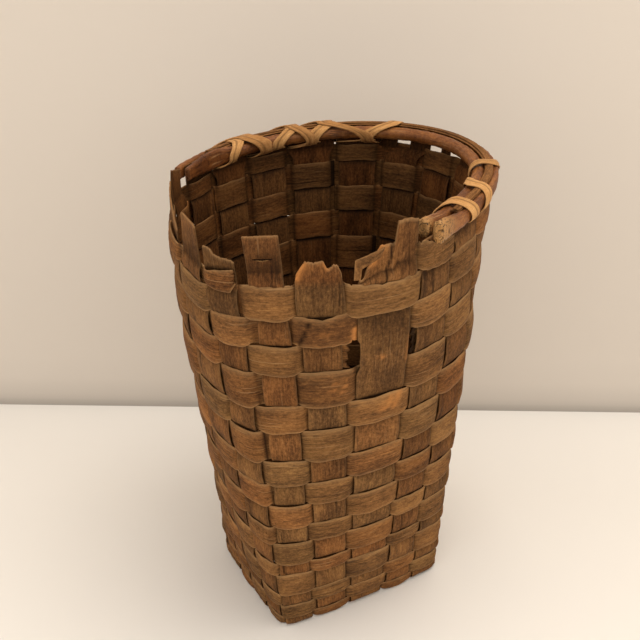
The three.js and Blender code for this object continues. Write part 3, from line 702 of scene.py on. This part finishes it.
def tornBit(low, high, offsets, own, seed, steps=28, across=9, thickness=1.1):
    # a sheet between two edge lines of (column, height) points, off the wall by the offsets from end to end
    s = np.linspace(0, 1, steps)

    def walk(line):
        line = np.array(line, float)
        run = pathLength(line * [stakeLook["bitWidth"], 1])
        return np.stack([np.interp(s, run / run[-1], line[:, 0]), np.interp(s, run / run[-1], line[:, 1])], -1)

    a, b, v = walk(low), walk(high), acrossSteps(across)
    sheet = a[:, None] * (1 - v[:, None]) + b[:, None] * v[:, None]
    u, z = sheet[..., 0], sheet[..., 1] + waves(s * 40, seed, [9, 5, 3], 0.3)[:, None]
    off = np.interp(s, np.linspace(0, 1, len(offsets)), offsets)[:, None] * np.ones(across)
    middle = offWall(u, z, off)
    wide = np.linalg.norm(middle[0, -1] - middle[0, 0])
    return closedStrip(middle, thickness, {
        "along": pathLength(middle[:, across // 2])[:, None] / 1000 + seed * 0.37,
        "across": v * wide / 1000 + seed * 0.11, "edge": 0.5 * fade(1 - v, 0.1), **own,
    })


def crossedRows(column):
    # whether each row's weaver crosses this column, as a broken one leaves some out
    first, last = np.array([brokenWeavers.get(row, (0, 2 * columnCount)) for row in range(rowCount)]).T
    again = column + columnCount
    return (column + 1 > first) & (column < last) | (again + 1 > first) & (again < last)


def stakeWall(column):
    # middle grid of one stake up its wall, from the lowest row to its top, and its layers
    look, v = stakeLook, acrossSteps(stakeLook["across"])
    top = form["height"] + lineAt(v, freeTops.get(column, look["hiddenTop"]))
    limit = top.min() - look["tailDepth"]
    t = crowded(np.linspace(0, 1, look["perRow"], endpoint=False))
    heights = (rowEdges[:-1, None] + t * np.diff(rowEdges)[:, None]).ravel()
    below, tail = heights[heights < limit], np.linspace(0, 1, look["tailSteps"])
    heights = np.concatenate([below, limit + tail * (top.max() - limit)])
    if column in freeTops:
        top = top + waves(v * 40, column + 400, [5, 2.7, 1.6], topNicks.get(column, look["topNick"]))
    z = np.concatenate([below[:, None] * np.ones(len(v)), limit + tail[:, None] * (top - limit)])
    # a block runs over every row that no weaver covers here, and a free top has no upper end
    rows, crossed = np.arange(rowCount), crossedRows(column)
    outside = ((rows + column) % 2 == 0) | ~crossed
    changes = np.concatenate([[0], np.flatnonzero(np.diff(outside)) + 1, [rowCount]])
    seat = heights + look["drop"] * clamp((form["rowsTop"] - heights) / 4)
    row = np.clip(np.searchsorted(rowEdges, seat, side="right") - 1, 0, rowCount - 1)
    block = np.searchsorted(changes, row, side="right") - 1
    first, after = changes[block], changes[block + 1]
    foot, head = rowEdges[first], rowEdges[after]
    free = (after == rowCount) & ~crossed[-1]
    share = np.where(free, np.clip((seat - foot) / look["freeRun"], 0, 0.5),
                     clamp((seat - foot) / (head - foot)))
    over, present = outside[row], seat <= rowEdges[row + 1]
    offset = np.where(present | free, bulge(look, over, share, crossTone(73, first, column)), 0) - look["inward"]
    # both edges of the stake: drawn in, wider over a block, wandering, and shifted with the weave
    spread = (over & present) * look["spread"] * arch(share, 0.5) - look["narrow"]
    if column not in freeTops:
        spread = spread + look["hiddenSpread"] * rampUp(heights, look["hiddenRun"])
    spread = spread + waves(heights, column * 5 + 903, [8, 4.7, 2.9], look["nick"])
    low = column + form["columnGap"] / 2 - spread + waves(heights, column * 5 + 900, [71, 37, 17], look["wave"])
    high = column + 1 - form["columnGap"] / 2 + spread + waves(heights, column * 5 + 901, [63, 29, 15], look["wave"])
    low = low + sideShift(column, heights) + stakeInset.get(column, 0) * rampUp(heights, look["inset"])
    high = high + sideShift(column + 1, heights)
    drawn = plateau(rampUp(heights, openSplit["span"]), openSplit["ramp"])
    high = high - openSplit["rightEdges"].get(column, 0) * drawn
    low = low + openSplit["leftEdges"].get(column, 0) * drawn
    if column in freeSides:
        # each edge passes to its own line between the line's first two heights
        sides = []
        for side, line in zip((low, high), freeSides[column]):
            (start, _), (end, _) = line[:2]
            sides.append(side + rampUp(heights, (start, end - start)) * (column + lineAt(heights, line) - side))
        low, high = sides
    u = low[:, None] + (high - low)[:, None] * v
    pillow = np.where(offset[:, None] > 0, 1 - look["pillow"] * (2 * v - 1) ** 2, 1)
    off = offset[:, None] * pillow + unevenness(heights, v * 40, column + 531, look["uneven"])
    # painted shade at both ends of a block and along the stake's edges, much darker along its right edge, the side
    # turned from the key light
    tuck = (crossingDirtAndShade(share, 0.07, 0.2) * (present | free))[:, None]
    tuck = np.maximum(tuck, np.maximum(0.2 * fade(v, 0.04), 0.65 * fade(1 - v, 0.06)))
    edge = nearEdges(v, 0.03, 0.03) * 0.35 * np.ones(z.shape)
    if column in freeTops:
        edge = np.maximum(edge, 1.2 * fade(top - z, 1.2))
    # painted shade: a dark line where the block comes out from behind the weaver below it
    seam = look["seam"] * fade(np.clip(z - foot[:, None] + look["seamRise"], 0, None), look["seamReach"])
    seam = seam * (over & (block > 0))[:, None]
    aged = rampUp(z, look["topAged"]) * (column in freeTops)
    ownTone, ownHue = looseTones.get(column, (0, 0))
    return facet(u, z, off, look["flatness"]), {
        "tuck": tuck, "edge": edge, "across": (u - column) * look["grainWidth"],
        "tone": crossTone(23, first, column)[:, None] * (1 - aged) + ownTone * aged,
        "hue": crossTone(24, first, column)[:, None] * (1 - aged) + ownHue * aged,
        "dark": np.maximum(markLines(u, z, stakeMarks.get(column, [])), seam),
        "pale": markLines(u, z, stakePale.get(column, [])),
    }


def stakeFoot(column, v):
    # places across the foot of a stake, inside the gap to its neighbours
    return column + form["columnGap"] / 2 + (1 - form["columnGap"]) * v


def floorRun(first, second, others, parity, v):
    # middle grid across the floor between two wall columns, over and under the other family, and its tuck
    a, b = (np.stack(floorPoint(u), -1) for u in (stakeFoot(first, v), stakeFoot(second, 1 - v)))
    start, d = a[len(v) // 2], (b - a)[len(v) // 2]
    cuts = []
    for pair in others:
        # share of the way at which the middle line meets a boundary of the other family
        p = np.stack(floorPoint(np.array(pair)), -1)
        e, away = p[1] - p[0], p[0] - start
        cuts.append((away[0] * e[1] - away[1] * e[0]) / (d[0] * e[1] - d[1] * e[0]))
    cuts = np.array(cuts)
    t = np.linspace(*stakeLook["floorSpan"], stakeLook["floorSteps"])
    band = np.clip(np.searchsorted(cuts, t, side="right") - 1, 0, perSide - 1)
    share = clamp((t - cuts[band]) / (cuts[band + 1] - cuts[band]))
    down = np.where((band + parity) % 2 == 0, -1.0, 1.0)
    height = splint["floorMiddle"] - down * splint["layer"] * plateau(share, stakeLook["floorRamp"])
    grid = np.concatenate([a + (b - a) * t[:, None, None], np.repeat(height[:, None], len(v), 1)[..., None]], -1)
    return grid, fade(np.minimum(share, 1 - share), 0.06)[:, None] * np.ones(len(v))


def wholeStake(first, second, others, parity, seed):
    # one unbroken splint: down a wall, across the floor and up the opposite wall
    m, turnSteps = stakeLook["across"], stakeLook["turnSteps"]
    v = acrossSteps(m)
    (wallA, layersA), (wallB, layersB) = stakeWall(first), stakeWall(second)
    floor, floorTuck = floorRun(first, second, others, parity, v)
    t = np.linspace(0, 1, turnSteps + 2)[1:-1, None, None]

    def turn(start, end, u):
        # from wall to floor: a curve drawn towards the corner point between them
        return start * (1 - t) ** 2 + wallPoint(u, stakeLook["turnHeight"]) * 2 * t * (1 - t) + end * t ** 2

    turnA = turn(wallA[0], floor[0], stakeFoot(first, v))
    turnB = turn(floor[-1], wallB[0, ::-1], stakeFoot(second, 1 - v))
    middle = np.concatenate([wallA[::-1], turnA, floor, turnB, wallB[:, ::-1]])
    middle[..., 2] = np.maximum(middle[..., 2], splint["thickness"] / 2)
    layers, pad = {}, np.zeros((turnSteps, m))
    for key in ("tuck", "edge", "tone", "hue", "dark", "pale"):
        onFloor = floorTuck if key == "tuck" else np.zeros_like(floorTuck)
        layers[key] = np.concatenate([layersA[key][::-1], pad, onFloor, pad, layersB[key][:, ::-1]])
    plain = np.ones((len(floor) + 2 * turnSteps, m)) * (v * 0.04 + 0.002)
    acrossB = stakeLook["grainWidth"] - layersB["across"][:, ::-1]
    layers["across"] = np.concatenate([layersA["across"][::-1], plain, acrossB]) + seed * 0.17
    layers["along"] = pathLength(middle[:, m // 2])[:, None] / 1000 + seed * 2.3
    return closedStrip(middle, splint["thickness"], layers)


boundaries = range(perSide + 1)
longEnds = [(k, 3 * perSide - k) for k in boundaries]
crossEnds = [(columnCount - k, perSide + k) for k in boundaries]
for k in range(perSide):
    long = wholeStake(k, 3 * perSide - 1 - k, crossEnds, k, k + 1)
    bits = [tornBit(*bit, 300 + 10 * k + i) for i, bit in enumerate(stakeBits.get(k, []))]
    addPiece(f"woven_long_splint_{k + 1}", [long, *bits], stakeSplint, f"long_splint_{k + 1}")
    cross = wholeStake(columnCount - 1 - k, perSide + k, longEnds, k + 1, k + 7)
    addPiece(f"woven_cross_splint_{k + 1}", [cross], stakeSplint, f"cross_splint_{k + 1}")
print("stakes done")

# rim: widths and offsets in millimetres from the rim line, places in columns
rim = dict(middle=453, columnWidth=48, steps=300, sides=28, first=3.3)
innerHoop = dict(
    last=15.16, out=-9.8, round=12.6, rough=0.28,
    # its round stub at the right, and where it is split flat, thinner and taller, at the left
    stubRun=(3.4, 0.7), stubRise=3, stubTall=2, flatRun=(13.3, 0.7), thinner=7.6, taller=5.4,
    taperRun=(14.4, 0.6), taper=5, squarer=1.5,
)
outerHoop = dict(
    last=15.12, out=4.8, radii=(3.4, 6.4), rough=0.55,
    stubRun=(3.4, 0.9), stubOut=1, stubRise=5.5, stubRadii=(1.4, 2.8),
)
fillers = dict(span=(4.1, 14.1), steps=220, widths=(8, 6), out=(-1.2, 0.5), rise=(6.7, 1.5), half=0.65)


def onRim(u, out, rise):
    # point on the wall at rim height, moved outwards and up the wall
    u = np.asarray(u, float)
    z = np.full(u.shape, float(rim["middle"]))
    up = wallUp(u, z)
    up /= np.linalg.norm(up, axis=-1, keepdims=True)
    return offWall(u, z, out) + up * np.asarray(rise)[..., None]


def tubeStrip(u, out, rise, radiusOut, radiusRise, sides, seed, squareness=2.0, ends=0.0, tone=0.0):
    # closed tube along the rim: an oval of the given radii at each place, with seeded lumps and ragged ends
    n, a = len(u), np.linspace(0, 2 * math.pi, sides, endpoint=False)
    out, rise, radiusOut, radiusRise, squareness, rough = (
        np.broadcast_to(x, u.shape)[:, None] for x in (out, rise, radiusOut, radiusRise, squareness, ends))
    mm = u[:, None] * rim["columnWidth"]
    lump = 1 + waves(mm, seed, [37, 13], 0.06) + waves(mm + 9 * np.cos(a + seed), seed + 1, [11, 5], 0.04)
    lump = lump + rough * (waves(mm + 7 * np.cos(a), seed + 5, [5.1, 3.3], 0.16)
                           + waves(a * 3, seed + 6, [2.1, 1.3], 0.12))
    c, s, power = np.cos(a), np.sin(a), 2 / squareness
    grid = onRim(np.repeat(u[:, None], sides, 1), out + radiusOut * lump * np.sign(c) * np.abs(c) ** power,
                 rise + radiusRise * lump * np.sign(s) * np.abs(s) ** power)
    ids = np.arange(n * sides).reshape(n, sides)
    nxt = np.roll(ids, -1, 1)
    quads = [np.stack([ids[:-1], nxt[:-1], nxt[1:], ids[1:]], -1).reshape(-1, 4)]
    points = grid.reshape(-1, 3)
    for end, inner in ((0, 1), (n - 1, n - 2)):
        # each end closes over an uneven inner ring and a hub, both drawn as quads
        centre = grid[end].mean(0)
        inward = grid[inner].mean(0) - centre
        inward = inward / np.linalg.norm(inward)
        hollow = waves(a * 3, seed + 9, [4.1, 2.3, 1.3], 2.2)[:, None]
        base = len(points)
        points = np.concatenate([points, centre + (grid[end] - centre) * 0.5 + inward * hollow, centre[None]])
        ring, mid = ids[end], base + np.arange(sides)
        cap = np.stack([ring, np.roll(ring, -1), np.roll(mid, -1), mid], -1)
        half = np.arange(0, sides, 2)
        hub = np.full(len(half), base + sides)
        fan = np.stack([mid[half], mid[(half + 1) % sides], mid[(half + 2) % sides], hub], -1)
        quads += [cap, fan] if end else [cap[:, [1, 0, 3, 2]], fan[:, ::-1]]
    extra = len(points) - n * sides
    inMetres = rim["columnWidth"] / 1000
    along = np.concatenate([np.repeat(u * inMetres, sides), np.full(extra, u[0] * inMetres)]) + seed * 1.9
    capAcross = np.tile(np.concatenate([a * 0.002, [0]]), 2)
    across = np.concatenate([np.tile(np.minimum(a, 2 * math.pi - a) * 0.0065, n), capAcross]) + seed * 0.07
    pale = np.concatenate([np.repeat(rough[:, 0], sides), np.repeat(rough[[0, -1], 0], extra // 2)])
    quads = np.concatenate(quads)
    return {"points": points, "quads": quads, "smooth": np.ones(len(quads), bool),
            "values": {"along": along, "across": across, "tone": tone, "pale": pale}}


def roughEnd(u, reach):
    # 1 at the first end of a hoop, fading over its reach
    return clamp(1 - (u - rim["first"]) / reach)


hoop = innerHoop
u = np.linspace(rim["first"], hoop["last"], rim["steps"])
flat, stub = ease(0, 1, u, hoop["flatRun"]), 1 - ease(0, 1, u, hoop["stubRun"])
wide = hoop["round"] - hoop["thinner"] * flat
tall = hoop["round"] + hoop["taller"] * flat - hoop["taper"] * ease(0, 1, u, hoop["taperRun"])
tube = tubeStrip(u, hoop["out"] + (hoop["round"] - wide) / 2, hoop["stubRise"] * stub, wide / 2,
                 tall / 2 + hoop["stubTall"] * stub, rim["sides"], 31, squareness=2 + hoop["squarer"] * flat,
                 ends=roughEnd(u, hoop["rough"]))
addPiece("rim_inner_hoop", [tube], peeledHoop, "inner_hoop")
hoop = outerHoop
u = np.linspace(rim["first"], hoop["last"], rim["steps"])
stub = 1 - ease(0, 1, u, hoop["stubRun"])
wide, tall = (radius + more * stub for radius, more in zip(hoop["radii"], hoop["stubRadii"]))
tube = tubeStrip(u, hoop["out"] + hoop["stubOut"] * stub, hoop["stubRise"] * stub, wide, tall, rim["sides"], 41,
                 squareness=3, ends=roughEnd(u, hoop["rough"]))
addPiece("rim_outer_hoop", [tube], peeledHoop, "outer_hoop")
u = np.linspace(*fillers["span"], fillers["steps"])
for k, width in enumerate(fillers["widths"]):
    out, rise = (start + k * more for start, more in (fillers["out"], fillers["rise"]))
    tube = tubeStrip(u, out, rise, width / 2, fillers["half"], 12, 51 + k, squareness=4, tone=1.8 - 0.8 * k)
    addPiece(f"rim_strip_{k + 1}", [tube], stakeSplint, f"rim_filler_{k + 1}")

# lashing: sizes of the strip and of the blunt oval it is wound on
lashing = dict(
    thickness=1.2, pinch=2.6, steps=30, across=11, maxSlant=1.35, lift=0.3, passGap=0.2,
    halfWidth=13.5, halfHeight=8.8, centre=-4.0, bluntness=2.4, columnWidth=48.4,
    # shares of a turn at which the strip slides along the rim: start and length of its three moves
    slides=((0.1, 0.4), (0.5, 0.3), (0.86, 0.12)), widen=(0.03, 0.1), vein=(0.62, 0.035, 0.55),
)
# layer, whether it winds the other way, and for each pass its outer, top, foot and inner place and its width
lashingPasses = [
    (1, False, [(14, 13.05, 12.7, 13, 16), (12.6, 11.9, 11.55, 12, 11), (12, 11.2, 10.2, 10, 14)]),
    (0, True, [(13, 13.3, 13.68, 14, 13), (12, 11.9, 12.35, 12.7, 14), (11, 11.15, 11.5, 12, 14),
               (10, 9.7, 10.2, 11, 14)]),
    (0, True, [(6.75, 6.3, 6.12, 7, 10), (4.95, 5.2, 5.6, 6.75, 12), (4.5, 4.4, 4.08, 4.95, 14)]),
]


def lashingStrip(layer, turned, passes, seed):
    # flat strip wound round the rim bundle on a blunt oval, sliding along the rim as it goes round
    look, m = lashing, lashing["across"]
    places, angles, widths = [], [], []
    for k, (outer, top, foot, inner, wide) in enumerate(passes):
        s = np.linspace(0, 1, look["steps"] + 1)[0 if k == 0 else 1:]
        t = 1 - s if turned else s
        moves = zip((outer, top, foot), (top, foot, inner), look["slides"])
        toTop, toFoot, toInner = (ease(a, b, t, span) for a, b, span in moves)
        places.append(np.where(t < 0.5, toTop, np.where(t < 0.8, toFoot, toInner)))
        angles.append(-math.pi / 2 + 2 * math.pi * t + (-k if turned else k) * 2 * math.pi)
        widths.append(ease(look["pinch"], wide, np.minimum(t, 1 - t), look["widen"]))
    place, angle, width = np.concatenate(places), np.concatenate(angles), np.concatenate(widths)
    girth = math.pi * (look["halfWidth"] + look["halfHeight"])
    du, dv = np.gradient(place) * look["columnWidth"], np.gradient(angle) / (2 * math.pi) * girth
    slant = np.minimum(np.hypot(du, dv) / np.abs(dv), look["maxSlant"])
    v = acrossSteps(m)
    u = place[:, None] + (v - 0.5) * (width * slant / look["columnWidth"])[:, None]
    proud = look["lift"] + layer * (look["thickness"] + look["passGap"]) + look["thickness"] / 2
    proud = proud + waves(v * 14, seed, [13, 7], 0.25)
    c, s = np.cos(angle)[:, None], np.sin(angle)[:, None]
    power = 2 / look["bluntness"]
    out = look["centre"] + (look["halfWidth"] + proud) * (np.sign(c) * np.abs(c) ** power)
    grid = onRim(u, out, (look["halfHeight"] + proud) * (np.sign(s) * np.abs(s) ** power))
    vein, veinWidth, veinDark = look["vein"]
    return closedStrip(grid, look["thickness"], {
        "along": pathLength(grid[:, m // 2])[:, None] / 1000 + seed, "across": v * 0.014 + seed * 0.1,
        "edge": nearEdges(v, 0.05, 0.05) * 0.4,
        # painted shade where the strip narrows at the foot of the bundle
        "tuck": fade(width - look["pinch"], 3)[:, None], "dark": veinDark * np.exp(-((v - vein) / veinWidth) ** 2),
    })


for k, (layer, turned, passes) in enumerate(lashingPasses):
    strip = lashingStrip(layer, turned, passes, 61 + k)
    addPiece(f"rim_lashing_{k + 1}", [strip], paleLashing, f"lashing_{k + 1}")
print("rim done")

# stage, camera and light, in metres and degrees
stage = dict(
    wallDistance=1.2042, wallTurn=0.0235, floor=(0.79, 0.75, 0.69), wall=(0.67, 0.6, 0.52),
    # wallFoot: painted shadow at the foot of the wall, as shares of its colour by height
    wallFoot=[(0.0, 0.58), (0.007, 0.66), (0.012, 0.78), (0.02, 0.86), (0.045, 0.97), (0.08, 1.0)],
    roughness=0.8, halfWidth=4, depth=6, wallHeights=(-0.2, 3),
)
view = dict(place=(-0.4357, -0.779, 0.7938), heading=28.93, tilt=61.5, sensor=36, focal=1033, frame=640)
# place, size, power and colour
lights = dict(
    keyLight=((-1.3, -1.3, 2.1), 1.3, 98, (1.0, 0.93, 0.84)),
    fillLight=((1.5, -1.5, 1.5), 1.6, 42, (1.0, 0.95, 0.9)),
    topLight=((0.5, -0.1, 2.3), 1.4, 34, (1.0, 0.94, 0.86)),
)
lightTarget = (0, 0, 0.3)
skyLight = dict(colour=(1.0, 0.96, 0.92, 1), strength=1.05)


# the floor ends at the foot of the wall, which stands behind the basket as the camera sees it
heading = math.radians(view["heading"])
forward = np.array([math.sin(heading), math.cos(heading), 0])
wallFoot = np.array(view["place"]) * [1, 1, 0] + forward * stage["wallDistance"]
sideways = (np.array([math.cos(heading), -math.sin(heading), 0]) - forward * stage["wallTurn"]) * stage["halfWidth"]


def stageSheet(name, start, end, paint, colour, shades=()):
    # one flat face as wide as the stage, which isn't part of the basket, in matt paint: with shades,
    # a painted shadow, darker by height just over the floor, where the wall meets the table
    material, add = newMaterial(paint)
    if shades:
        height = add("SeparateXYZ", {0: add("TexCoord", {}, "Object")}, "Z")
        colour = colourRamp(add, height, [(place, tuple(share * c for c in colour)) for place, share in shades])
    shader = add("BsdfPrincipled", {"Base Color": colour, "Roughness": stage["roughness"]})
    add("OutputMaterial", {"Surface": shader})
    mesh = bpy.data.meshes.new(name)
    corners = [wallFoot + side * sideways + edge for side, edge in ((-1, start), (1, start), (1, end), (-1, end))]
    mesh.from_pydata(corners, [], [(0, 1, 2, 3)])
    mesh.materials.append(material)
    newObject(name, mesh)


bottom, top = (np.array([0, 0, height]) for height in stage["wallHeights"])
stageSheet("floor", -forward * stage["depth"], 0, "paleTable", stage["floor"])
stageSheet("backWall", bottom, top, "paleWall", stage["wall"], stage["wallFoot"])

camera = newObject("camera", bpy.data.cameras.new("camera"))
camera.location = view["place"]
camera.rotation_euler = (math.radians(view["tilt"]), 0, -heading)
camera.data.sensor_width = view["sensor"]
camera.data.lens = view["sensor"] * view["focal"] / view["frame"]
bpy.context.scene.camera = camera

for name, (place, size, power, colour) in lights.items():
    # square lamp turned to the middle of the basket
    light = bpy.data.lights.new(name, "AREA")
    light.size, light.energy, light.color = size, power, colour
    lamp, aim = newObject(name, light), np.array(lightTarget) - place
    lamp.location = place
    lamp.rotation_euler = (math.atan2(math.hypot(aim[0], aim[1]), -aim[2]), 0, math.atan2(aim[0], -aim[1]))
world = bpy.data.worlds.new("studio")
world.use_nodes = True
background = world.node_tree.nodes["Background"]
background.inputs[0].default_value, background.inputs[1].default_value = skyLight["colour"], skyLight["strength"]
bpy.context.scene.world = world
bpy.context.scene.view_settings.view_transform = "Standard"
print("stage done")
